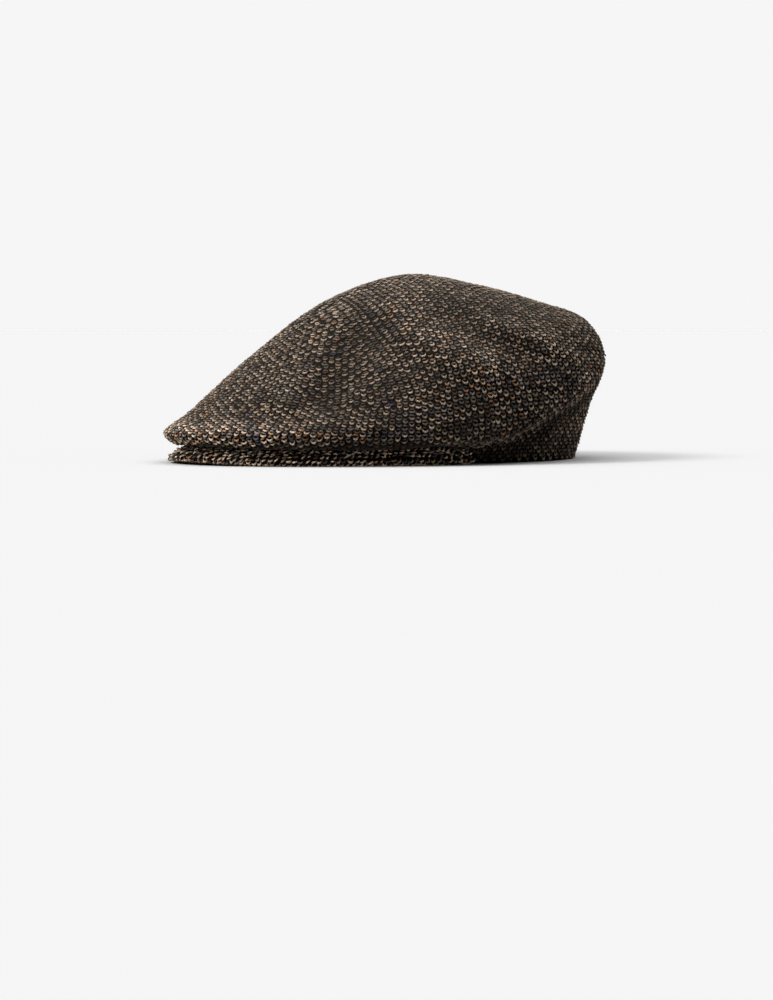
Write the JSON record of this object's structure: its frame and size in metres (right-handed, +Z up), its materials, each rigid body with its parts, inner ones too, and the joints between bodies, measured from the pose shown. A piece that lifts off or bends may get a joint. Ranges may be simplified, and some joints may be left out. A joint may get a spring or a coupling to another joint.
{
  "type": "flat cap",
  "caption": "Soft flat cap in a chunky knitted tweed, with a full crown that falls over a short stiffened peak and a sweatband round the open hollow for the head.",
  "frame": {"origin": "on the ground the cap rests on, under the middle of its outline seen from above", "axes": "+Z up, -Y the way the peak points, +X the wearer's left"},
  "size_m": [0.211, 0.277, 0.1098],
  "materials": {
    "crown_tweed": "matte",
    "peak_tweed": "matte",
    "band_ribbon": "satin"
  },
  "bodies": {
    "root": {"crown": "crown_tweed", "peak": "peak_tweed", "sweatband": "band_ribbon"}
  },
  "joints": []
}
